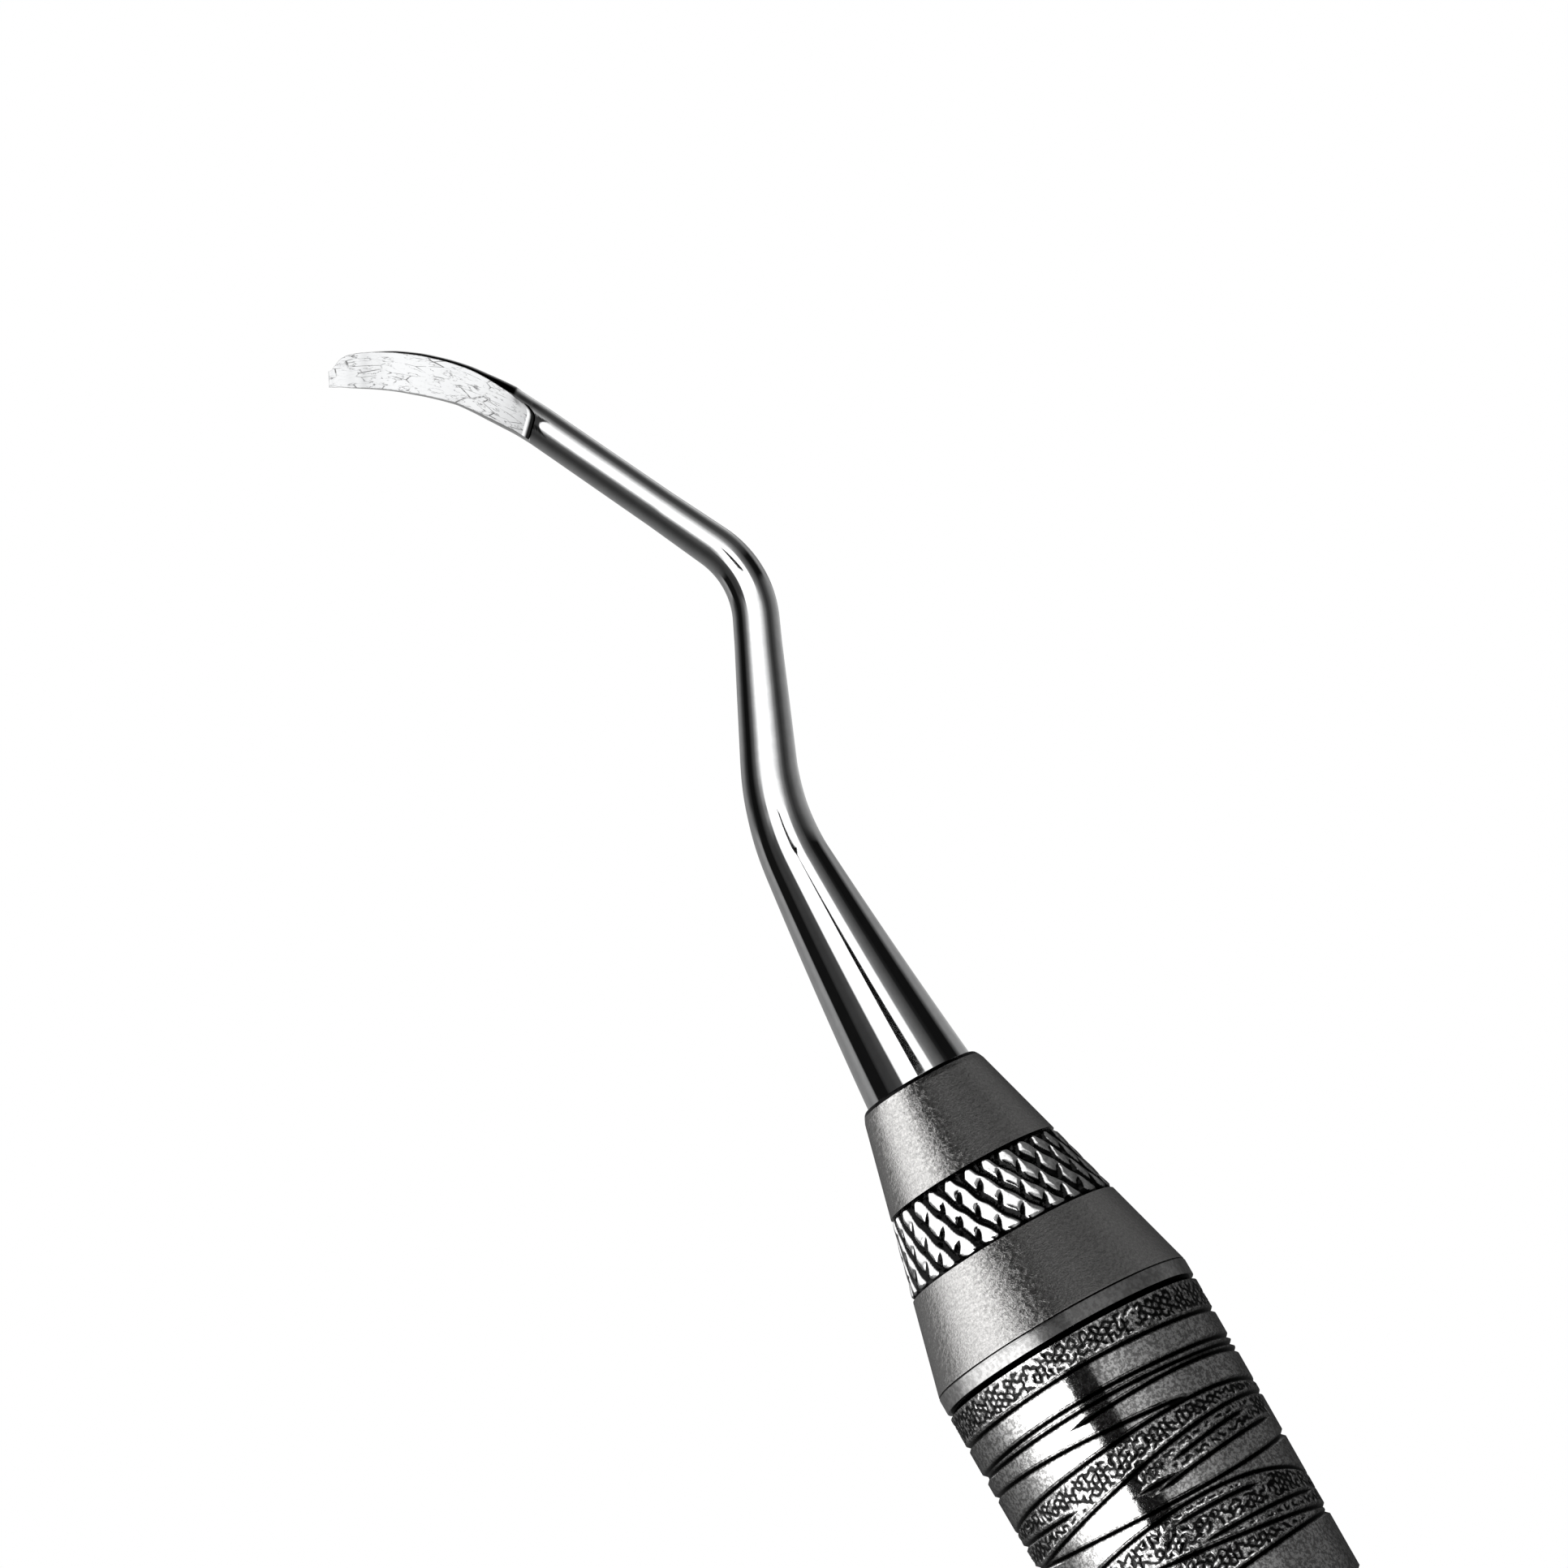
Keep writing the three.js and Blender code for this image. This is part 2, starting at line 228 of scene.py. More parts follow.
def smooth(low, high, value):
    t = np.clip((value - low) / (high - low), 0, 1)
    return t * t * (3 - 2 * t)


# ---- material nodes ----


class Nodes:
    """Short forms for building one material's node tree."""

    def __init__(self, name):
        self.material = bpy.data.materials.new(name)
        self.material.use_nodes = True
        self.tree = self.material.node_tree
        self.shader = self.tree.nodes["Principled BSDF"]
        self.place = self.add("ShaderNodeTexCoord").outputs["Object"]

    def add(self, kind, **settings):
        node = self.tree.nodes.new(kind)
        for key, value in settings.items():
            setattr(node, key, value)
        return node

    def put(self, value, socket):
        if isinstance(value, bpy.types.NodeSocket):
            self.tree.links.new(value, socket)
        else:
            socket.default_value = value

    def maths(self, operation, a, b=0.0):
        node = self.add("ShaderNodeMath", operation=operation)
        self.put(a, node.inputs[0])
        self.put(b, node.inputs[1])
        return node.outputs[0]

    def scaled(self, scale):
        """The object coordinates, scaled differently along each axis: finer where larger."""
        node = self.add("ShaderNodeMapping")
        self.put(self.place, node.inputs["Vector"])
        node.inputs["Scale"].default_value = scale
        return node.outputs["Vector"]

    def noise(self, vector, scale=1.0, detail=3.0, roughness=0.6, distortion=0.0):
        node = self.add("ShaderNodeTexNoise")
        self.put(vector, node.inputs["Vector"])
        node.inputs["Scale"].default_value = scale
        node.inputs["Detail"].default_value = detail
        node.inputs["Roughness"].default_value = roughness
        node.inputs["Distortion"].default_value = distortion
        return node.outputs["Fac"]

    def cells(self, vector, scale, randomness=1.0):
        node = self.add("ShaderNodeTexVoronoi", feature="DISTANCE_TO_EDGE")
        self.put(vector, node.inputs["Vector"])
        node.inputs["Scale"].default_value = scale
        node.inputs["Randomness"].default_value = randomness
        return node.outputs["Distance"]

    def spread(self, value, low, high, to_low, to_high):
        """Carries a value's range from low to high onto another range."""
        node = self.add("ShaderNodeMapRange", interpolation_type="SMOOTHSTEP")
        self.put(value, node.inputs["Value"])
        for name, number in zip(("From Min", "From Max", "To Min", "To Max"),
                                (low, high, to_low, to_high)):
            node.inputs[name].default_value = number
        return node.outputs["Result"]

    def blend(self, share, a, b):
        node = self.add("ShaderNodeMix", data_type="RGBA")
        self.put(share, node.inputs["Factor"])
        self.put(a, node.inputs["A"])
        self.put(b, node.inputs["B"])
        return node.outputs["Result"]

    def stored(self, name):
        return self.add("ShaderNodeAttribute", attribute_name=name).outputs["Fac"]

    def sunk(self):
        """How deep in a groove a point is, as a share of painted shade."""
        return self.spread(self.stored("groove"), 0.15, 0.7, 0, 1)

    def bump(self, height, distance, strength=1.0):
        node = self.add("ShaderNodeBump")
        self.put(height, node.inputs["Height"])
        node.inputs["Distance"].default_value = distance
        node.inputs["Strength"].default_value = strength
        self.put(node.outputs["Normal"], self.shader.inputs["Normal"])

    def finish(self, colour, roughness, metallic=1.0):
        self.put(colour, self.shader.inputs["Base Color"])
        self.put(roughness, self.shader.inputs["Roughness"])
        self.shader.inputs["Metallic"].default_value = metallic
        return self.material


def grey(value, warmth=0.0):
    return (value * (1 + warmth), value, value * (1 - warmth), 1)


def polished_steel():
    """Mirror-polished steel with the faint haze that buffing leaves."""
    n = Nodes("polished_steel")
    haze = n.noise(n.place, scale=2500, detail=4)
    clean = n.blend(n.spread(haze, 0.35, 0.7, 0, 1), grey(0.74, -0.006), grey(0.82, -0.004))
    n.bump(n.noise(n.place, scale=1500, detail=2), 0.0000005)
    # the blend towards near black by the stored groove value is painted shade
    return n.finish(n.blend(n.sunk(), clean, grey(0.01)), n.spread(haze, 0.3, 0.75, 0.06, 0.12))


def shank_steel():
    """Mirror polish, finer than the handle's."""
    n = Nodes("shank_steel")
    haze = n.noise(n.place, scale=2500, detail=4)
    clean = n.blend(n.spread(haze, 0.35, 0.7, 0, 1), grey(0.74, -0.006), grey(0.82, -0.004))
    n.bump(n.noise(n.place, scale=1500, detail=2), 0.0000003)
    # the blend towards near black is painted shade: the heel's wall, the back's rim beside the face and the
    # shank just behind the heel
    return n.finish(n.blend(n.sunk(), clean, grey(0.008)), n.spread(haze, 0.3, 0.75, 0.02, 0.045))


def turned_steel():
    """The bush's finely turned flange, duller than the polish beside it."""
    n = Nodes("turned_steel")
    rings = n.noise(n.scaled((22000, 1200, 1200)), detail=3)
    spots = n.noise(n.place, scale=6000, detail=3)
    clean = n.blend(n.spread(spots, 0.38, 0.62, 0, 1), grey(0.4, 0.008), grey(0.58, 0.006))
    n.bump(n.maths("ADD", rings, spots), 0.000003)
    # the blend towards near black is painted shade on the bush below its flange's outer rim
    return n.finish(n.blend(n.sunk(), clean, grey(0.008)), n.spread(spots, 0.35, 0.65, 0.08, 0.13))


def satin_steel():
    """Bead-blasted steel: an even fine grain, with short rubbed marks round the cone."""
    n = Nodes("satin_steel")
    grain = n.noise(n.place, scale=13000, detail=2, roughness=0.6)
    marks = n.noise(n.scaled((6500, 4200, 4200)), detail=4, roughness=0.75, distortion=1.2)
    clean = n.blend(n.spread(grain, 0.35, 0.65, 0, 1), grey(0.54, 0.014), grey(0.66, 0.014))
    relief = n.maths("ADD", n.maths("MULTIPLY", grain, 0.3), marks)
    n.bump(relief, 0.00002)
    # the blend towards near black is painted shade wherever the nose lies below its cone
    return n.finish(n.blend(n.sunk(), clean, grey(0.01)), n.spread(marks, 0.35, 0.7, 0.07, 0.12))


def handle_steel():
    """Knurled and polished fields, told apart by the values stored on the handle's vertices."""
    n = Nodes("handle_steel")
    knurl = n.stored("knurl")
    grain = n.noise(n.place, scale=7500, detail=3, roughness=0.75)
    grains = n.spread(grain, 0.42, 0.6, 0, 1)
    plain = n.blend(grains, grey(0.36, 0.008), grey(1.0, 0.006))
    cut = n.blend(grains, grey(0.18, 0.008), grey(0.95, 0.006))
    clean = n.blend(knurl, plain, cut)
    # painted shade: the knurl's low points and the grooves are darkened to near black
    valley_shade = n.spread(n.stored("valley_shade"), 0.3, 0.72, 0, 0.98)
    colour = n.blend(n.maths("MAXIMUM", n.sunk(), valley_shade), clean, grey(0.008))
    smear = n.spread(n.noise(n.place, scale=700, detail=5), 0.35, 0.7, 0.07, 0.12)
    height = n.maths("MULTIPLY", grain, n.maths("ADD", n.maths("MULTIPLY", knurl, 1.5), 0.7))
    n.bump(height, 0.000003)
    return n.finish(colour, n.maths("ADD", smear, n.maths("MULTIPLY", knurl, 0.05)))


def knurl_steel():
    """Polished lands, with painted shade darkening the cuts' sides."""
    n = Nodes("knurl_steel")
    grain = n.noise(n.place, scale=8000, detail=3)
    clean = n.blend(n.spread(grain, 0.35, 0.65, 0, 1), grey(0.6), grey(0.9))
    n.bump(grain, 0.000003)
    return n.finish(n.blend(n.sunk(), clean, grey(0.008)), 0.11)


def ground_steel():
    """The blade's ground face: pale, with fine broken grinding lines along it and painted shade along its
    edge.
    """
    n = Nodes("ground_steel")
    flow = n.add("ShaderNodeCombineXYZ")
    n.put(n.maths("MULTIPLY", n.stored("along"), 1.1), flow.inputs["X"])
    n.put(n.maths("MULTIPLY", n.stored("side"), 4.6), flow.inputs["Y"])
    levels = n.maths("MULTIPLY", n.noise(flow.outputs["Vector"], detail=4, roughness=0.55), 5)
    between = n.maths("ABSOLUTE", n.maths("SUBTRACT", n.maths("FRACT", levels), 0.5))
    lines = n.spread(between, 0.0, 0.1, 1, 0)
    lines = n.maths("MULTIPLY", lines, n.spread(n.noise(n.place, scale=2600), 0.42, 0.58, 0.1, 0.9))
    cracks = n.spread(n.cells(flow.outputs["Vector"], 0.8), 0.0, 0.035, 1, 0)
    cracks = n.maths("MULTIPLY", cracks, n.spread(n.noise(n.place, scale=1900), 0.42, 0.58, 0, 1))
    # painted shade: darker towards the ground face's edges
    near_edge = n.spread(n.stored("inside"), 0.1, 0.75, 0.85, 0)
    edge = n.maths("MULTIPLY", near_edge, n.spread(n.noise(n.place, scale=4200), 0.35, 0.6, 0.35, 1))
    dark = n.maths("MAXIMUM", n.maths("MAXIMUM", lines, cracks), edge)
    colour = n.blend(dark, grey(0.68, -0.008), grey(0.1))
    n.bump(n.noise(n.place, scale=9000, detail=3), 0.000001)
    return n.finish(colour, 0.3)


def seal_rubber():
    n = Nodes("seal_rubber")
    grain = n.noise(n.place, scale=9000)
    colour = n.blend(grain, grey(0.012), grey(0.03))
    n.bump(grain, 0.000004)
    return n.finish(colour, n.spread(grain, 0.3, 0.7, 0.45, 0.65), metallic=0.0)


# ---- handle ----

RING_SAMPLES = 144
GROOVE_HALF_WIDTH = 0.13
GROOVE_DEPTH = 0.13
KNURL_PITCH = 0.26
KNURL_DEPTH = 0.042
EDGE_CHAMFER = (0.1, 0.17)  # length and depth of the tube end's half of the V at the flange

# The ring grooves next to the shoulder, as (distance behind the shoulder, swing, angle at which it
# comes furthest forward, first and last angle, whether the finish changes across it).
WHOLE = (-180, 180)
SHOULDER_RINGS = [
    (1.57, 0.03, -20, WHOLE, True),
    (2.63, 0.07, 0, WHOLE, False),
    (2.82, 0.05, -120, WHOLE, False),
    (3.2, 0.1, 60, (-20, 150), False),
    (3.77, 0.33, -105, (-180, 38), False),
    (4.58, 0.41, 40, WHOLE, True),
    (5.6, 0.2, -110, (-150, -30), False),
    (5.61, 0.87, 80, WHOLE, True),
    (5.61, 0.87, 80, (-4, 78), True),
    (6.44, 0.75, 95, (-4, 78), True),
    (6.26, 0.73, -172, WHOLE, False),
    (6.5, 0.25, 10, (-12, 17), False),
    (5.98, 0.8, 86, (8, 62), False),
    (8.15, 0.9, 15, WHOLE, True),
    (8.2, 0.5, 15, (-6, 48), False),
    (8.75, 0.45, -100, WHOLE, False),
    (8.9, 0.35, 60, (2, 80), False),
    (9.6, 0.6, 150, WHOLE, True),
]


def all_rings():
    """Every ring groove as (x of its middle, swing, angle, first angle, last angle, changes)."""
    rings = []
    for behind, swing, angle, (first, last), changes in SHOULDER_RINGS:
        at = math.radians(angle)
        rings.append((SHOULDER_X - behind, swing, at, math.radians(first), math.radians(last), changes))
        rings.append((behind - SHOULDER_X, -swing, -at, math.radians(-last), math.radians(-first), changes))
    draw = np.random.default_rng(7)
    middle_end = SHOULDER_X - 11
    count = 50
    for k in range(count):
        x = -middle_end + 2 * middle_end * (k + 0.5) / count + draw.uniform(-0.25, 0.25)
        swing = draw.uniform(0.35, 0.95)
        rings.append((x, swing, draw.uniform(-math.pi, math.pi), -math.pi, math.pi, k % 4 != 1))
    return rings


def ring_place(ring, angle):
    """x of a ring groove at an angle, and how open it is there (0 where it has run out)."""
    x, swing, peak, first, last, _ = ring
    place = x + swing * np.cos(angle - peak) + 0.03 * np.sin(3 * angle + 5 * x)
    if last - first > 6:
        return place, np.ones_like(place)
    fade = math.radians(12)
    return place, smooth(first, first + fade, angle) * smooth(last, last - fade, angle)


def groove_depths(rings, x, angle):
    depth = np.zeros_like(x)
    for ring in rings:
        place, open_ = ring_place(ring, angle)
        half = np.maximum(GROOVE_HALF_WIDTH * open_, 1e-6)
        depth = np.maximum(depth, open_ * (1 - np.abs(x - place) / half))
    return np.maximum(depth, 0)


def is_knurled(rings, x, angle):
    changes = np.zeros(len(x), int)
    for ring in rings:
        if ring[5]:
            place, open_ = ring_place(ring, angle)
            changes += (place > x) & (open_ > 0)
    return changes % 2 == 0


def knurl_points(rings, end):
    """Knurl cells' tops and the low points between them, on a slightly shaken hexagonal lattice."""
    step = KNURL_PITCH / math.sqrt(3)
    columns = 3 * round(2 * math.pi * HANDLE_R / step / 3)
    rows = int(2 * end / (step * math.sqrt(3) / 2))
    b, j = np.meshgrid(np.arange(1, rows), np.arange(columns), indexing="ij")
    x = -end + b * step * math.sqrt(3) / 2
    angle = ((j + 0.5 * (b % 2) + 0.25) / columns * 2 - 1) * math.pi
    is_top = (j - b // 2 - b) % 3 == 0
    draw = np.random.default_rng(3)
    x = x + draw.uniform(-0.34, 0.34, x.shape) * step
    angle = angle + draw.uniform(-0.34, 0.34, x.shape) * step / HANDLE_R
    is_top |= draw.random(x.shape) < 0.08
    x, angle, is_top = x.ravel(), angle.ravel(), is_top.ravel()
    nearest = np.full(len(x), 9.0)
    for ring in rings:
        place, open_ = ring_place(ring, angle)
        nearest = np.minimum(nearest, np.where(open_ > 0, np.abs(x - place), 9))
    inside = (nearest > GROOVE_HALF_WIDTH + 0.045) & (np.abs(x) < end - 0.05)
    inside &= (np.abs(angle) < math.pi - 0.012) & is_knurled(rings, x, angle)
    return x[inside], angle[inside], is_top[inside]


def handle_plan(rings, end):
    """The handle's skin unrolled flat and triangulated, with every groove edge an edge of it."""
    angles = np.linspace(-math.pi, math.pi, RING_SAMPLES + 1)
    plan, edges = [], []

    def line(x, angle):
        first = len(plan)
        plan.extend(zip(x, angle * HANDLE_R))
        edges.extend((first + k, first + k + 1) for k in range(len(x) - 1))

    for x in (-end, end):
        line(np.full(len(angles), x), angles)
    for ring in rings:
        kept = angles[(angles > ring[3] - 1e-9) & (angles < ring[4] + 1e-9)]
        place, open_ = ring_place(ring, kept)
        for side in (-1, 0, 1):
            line(place + side * GROOVE_HALF_WIDTH * open_, kept)
    x, angle, is_top = knurl_points(rings, end)
    first_knurl = len(plan)
    plan.extend(zip(x, angle * HANDLE_R))
    out = delaunay_2d_cdt([Vector(p) for p in plan], edges, [], 0, 1e-5, True)
    verts, _, faces, origins = out[:4]
    low = np.zeros(len(verts), bool)
    for k, sources in enumerate(origins):
        low[k] = any(s >= first_knurl and not is_top[s - first_knurl] for s in sources)
    place = np.array([(v.x, v.y / HANDLE_R) for v in verts])
    return place, np.array([f for f in faces if len(f) == 3]), low


def joined_seam(place, faces):
    """Where the unrolled skin's two long sides meet, makes their faces share vertices."""
    sides = [np.flatnonzero(np.abs(place[:, 1] - s * math.pi) < 1e-5) for s in (-1, 1)]
    sides = [side[np.argsort(place[side, 0])] for side in sides]
    own = np.arange(len(place))
    own[sides[1]] = sides[0]
    return own[faces]


def skin_radius(x):
    """The handle's radius: straight shoulders, then a shallow waist."""
    share = np.clip(np.abs(x) / (TUBE_END - 3.2), 0, 1)
    return WAIST_R + (HANDLE_R - WAIST_R) * share**2


def handle_normals(verts, faces, depth, low):
    """Corner normals: round on plain skin and on knurl tops, and flat down the grooves' sides."""
    corners = verts[faces]
    flat = np.cross(corners[:, 1] - corners[:, 0], corners[:, 2] - corners[:, 0])
    flat /= np.maximum(np.linalg.norm(flat, axis=1, keepdims=True), 1e-12)
    outward = verts * (0, 1, 1)
    outward /= np.linalg.norm(outward, axis=1, keepdims=True)
    sunk = depth[faces] > 1e-3
    lows = low[faces]
    plain = ~(sunk.any(1) | lows.any(1))
    top = ~lows & ~sunk & ~plain[:, None] & ~sunk.any(1)[:, None]
    share = np.where(plain[:, None], 1.0, np.where(top, 0.55, 0.0))[..., None]
    normals = share * outward[faces] + (1 - share) * flat[:, None]
    return normals / np.linalg.norm(normals, axis=2, keepdims=True)


def make_handle(material):
    rings = all_rings()
    end = TUBE_END - EDGE_CHAMFER[0]
    place, faces, low = handle_plan(rings, end)
    faces = joined_seam(place, faces)
    x, angle = place.T
    depth = groove_depths(rings, x, angle)
    radius = skin_radius(x) - GROOVE_DEPTH * depth - np.where(low, KNURL_DEPTH, 0)
    verts = np.stack([x, -radius * np.sin(angle), radius * np.cos(angle)], 1)
    knurled = is_knurled(rings, x, angle).astype(float)

    # the chamfers, end faces and bore join the skin's two end rings
    rims = []
    for x_end in (-end, end):
        ring = np.flatnonzero((np.abs(x - x_end) < 1e-5) & (angle < math.pi - 1e-5))
        rims.append(ring[np.argsort(angle[ring])])
    rim = (end + 0.012, HANDLE_R - 0.02)
    outline = [rim, (TUBE_END, HANDLE_R - EDGE_CHAMFER[1]), (TUBE_END, BORE_R)]
    outline += [(-x, r) for x, r in reversed(outline)]
    rim_angle = angle[rims[0]]
    chain = [rims[1]]
    for ring_x, ring_r in outline:
        chain.append(len(verts) + np.arange(RING_SAMPLES))
        ring = [np.full(RING_SAMPLES, ring_x), -ring_r * np.sin(rim_angle), ring_r * np.cos(rim_angle)]
        verts = np.vstack([verts, np.stack(ring, 1)])
    chain.append(rims[0])
    inner = []
    for one, other in zip(chain, chain[1:]):
        a, b, c, d = one, np.roll(one, -1), np.roll(other, -1), other
        inner += [np.stack([a, b, c], 1), np.stack([a, c, d], 1)]
    inner = np.vstack(inner)
    extra = len(verts) - len(x)
    # the end faces, chamfers and bore get full painted shade through the groove value
    depth = np.append(depth, np.ones(extra))
    low = np.append(low, np.zeros(extra, bool))
    knurled = np.append(knurled, np.zeros(extra))

    used, faces_now = np.unique(np.vstack([faces, inner]), return_inverse=True)
    faces_now = faces_now.reshape(-1, 3)
    verts, depth, low, knurled = verts[used], depth[used], low[used], knurled[used]
    if signed_volume(verts, faces_now[: len(faces)]) < 0:
        faces_now[: len(faces)] = faces_now[: len(faces), ::-1]
    first = verts[faces_now[len(faces) :]]
    facing = np.cross(first[:, 1] - first[:, 0], first[:, 2] - first[:, 0])
    bore = np.ptp(first[:, :, 0], axis=1)
    inward = (facing * (first.mean(1) * (0, 1, 1))).sum(1)
    if inward[bore > 1].mean() > 0:
        faces_now[len(faces) :] = faces_now[len(faces) :, ::-1]

    normals = handle_normals(verts, faces_now, depth, low)
    normals[len(faces) :] = normals[len(faces) :] * 0 + flat_normals(verts, faces_now[len(faces) :])
    mesh = bpy.data.meshes.new("handle")
    mesh.from_pydata(placed(verts, "a", False).tolist(), [], faces_now.tolist())
    mesh.shade_smooth()
    mesh.materials.append(material)
    mesh.normals_split_custom_set(normals.reshape(-1, 3).tolist())
    piece = bpy.data.objects.new("handle", mesh)
    bpy.context.scene.collection.objects.link(piece)
    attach(piece, "handle")
    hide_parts("handle_tube")
    # the groove value paints shade down the grooves, and the valley value paints shade at the knurl's low
    # points
    add_value(piece, "groove", depth)
    add_value(piece, "knurl", knurled)
    add_value(piece, "valley_shade", low)
    return piece


def flat_normals(verts, faces):
    corners = verts[faces]
    flat = np.cross(corners[:, 1] - corners[:, 0], corners[:, 2] - corners[:, 0])
    return (flat / np.linalg.norm(flat, axis=1, keepdims=True))[:, None]


# ---- threads and turned pieces ----

TURN_COLUMNS = 192


def thread_radius(x, columns, crest_r):
    """Radius of a right-hand M6 by 1 thread at each x and column."""
    angle = np.arange(columns) / columns  # goes round from +Z towards -Y
    along = (np.asarray(x)[:, None] / THREAD_PITCH + angle[None, :]) % 1
    slope = 0.3125
    crest, root = 0.125, 0.25
    rise = np.clip((along - root) / slope, 0, 1)
    fall = np.clip((along - root - slope - crest) / slope, 0, 1)
    return crest_r - THREAD_DEPTH + THREAD_DEPTH * (rise - fall)


def outline_rows(outline):
    x, r = np.array(outline).T
    return around(x, r, TURN_COLUMNS)


def make_bush(end, material):
    body_r = BORE_R - 0.05
    back = TUBE_END + FIT
    outer = [(BUSH_START, body_r - 0.2), (BUSH_START + 0.3, body_r), (back, body_r)]
    outer += [(back, HANDLE_R - EDGE_CHAMFER[1]), (back + 0.09, HANDLE_R - 0.04)]
    outer += fillet(back + 0.105, HANDLE_R - 0.012, back + 0.13, HANDLE_R, (back + 0.115, HANDLE_R))
    outer += fillet(FLANGE_FACE - 0.03, HANDLE_R, FLANGE_FACE, HANDLE_R - 0.04, (FLANGE_FACE, HANDLE_R))
    outer += [(FLANGE_FACE, 3.62), (FLANGE_FACE - 0.02, 3.6), (46.73, 3.6), (46.73, THREAD_R + 0.08)]
    bore_x = stretch(46.72, BUSH_START, 0.04)
    bore_r = thread_radius(bore_x, TURN_COLUMNS, THREAD_R + 0.08)
    bore = around(np.broadcast_to(bore_x[:, None], bore_r.shape), bore_r, TURN_COLUMNS)
    verts, faces = ring_grid(np.concatenate([outline_rows(outer), bore]), True)
    piece = make_piece(f"bush_{end}", f"end_bush_{end}", verts, faces, material)
    # the groove value paints shade on the bush below its flange's outer rim
    add_value(piece, "groove", np.hypot(verts[:, 1], verts[:, 2]) < HANDLE_R - 0.035)
    return piece


def make_seal(end, material):
    section, centre_x, centre_r = 0.36, 47.11, 3.17
    turn = np.arange(24) * 2 * math.pi / 24
    rows = around(centre_x + section * np.cos(turn), centre_r + section * np.sin(turn), 96)
    verts, faces = ring_grid(rows, True)
    return make_piece(f"seal_{end}", f"seal_ring_{end}", verts, faces, material, crease=0)


def cone_radius(x):
    return NOSE_RIM_R + CONE_SLOPE * (NOSE_RIM_X - x)


BEVEL_SLOPE = math.radians(25)  # of the narrow bevel round the cone's mouth


def make_nose(end, material):
    male_end, relief_r, neck_r, socket_r = 46.45, 2.4, 2.75, 1.27
    thread_x = stretch(MALE_START + 0.02, male_end, 0.04)
    thread_r = thread_radius(thread_x, TURN_COLUMNS, THREAD_R)
    chamfer = np.minimum(thread_x - MALE_START, male_end - thread_x)[:, None] * 1.1 + 2.36
    thread_r = np.minimum(thread_r, chamfer)
    male = around(np.broadcast_to(thread_x[:, None], thread_r.shape), thread_r, TURN_COLUMNS)
    groove = 0.37
    ring_low, ring_high = RING_START - FIT, RING_END + FIT
    base_r, rim_x = cone_radius(NOSE_BASE), NOSE_RIM_X
    outer = [(male_end + 0.02, relief_r), (46.8, relief_r), (46.8, neck_r), (NOSE_BASE, neck_r)]
    outer += fillet(NOSE_BASE, base_r - 0.04, NOSE_BASE + 0.03, cone_radius(NOSE_BASE + 0.03),
                    (NOSE_BASE, base_r))
    outer += [(x, cone_radius(x)) for x in stretch(NOSE_BASE + 0.1, ring_low, 0.25)]
    outer += [(ring_low, cone_radius(ring_low) - groove), (ring_high, cone_radius(ring_high) - groove)]
    outer += [(x, cone_radius(x)) for x in stretch(ring_high, rim_x - 0.34, 0.25)]
    bevel = np.array([0, 0.01, 0.09, 0.17, 0.18])
    outer += [(rim_x - 0.32 + a, cone_radius(rim_x - 0.32) - a * math.tan(BEVEL_SLOPE)) for a in bevel]
    low_x, low_r = rim_x - 0.13, cone_radius(rim_x - 0.32) - 0.2 * math.tan(BEVEL_SLOPE)
    outer += fillet(low_x, low_r, rim_x, low_r - 0.14, (rim_x, low_r - 0.06), 8)
    outer += [(rim_x, SHANK_MOUTH_R + 0.04), (rim_x - 0.08, SHANK_MOUTH_R + 0.02), (54.2, socket_r)]
    outer += [(TANG_START - 0.13, socket_r)]
    verts, faces = ring_grid(np.concatenate([male, outline_rows(outer)]), False)
    piece = make_piece(f"nose_{end}", f"nose_cone_{end}", verts, faces, material, 30)
    radius = np.hypot(verts[:, 1], verts[:, 2])
    # the groove value paints shade wherever the nose lies below its cone
    add_value(piece, "groove", radius < cone_radius(verts[:, 0]) - 0.035)
    return piece


# ---- knurled ring ----

KNURL_STARTS = 27
KNURL_SLANT = math.radians(30)
KNURL_COLUMNS = KNURL_STARTS * 16
MAIN_CUT, CROSS_CUT = 0.18, 0.16  # depths of the two families of helical cuts


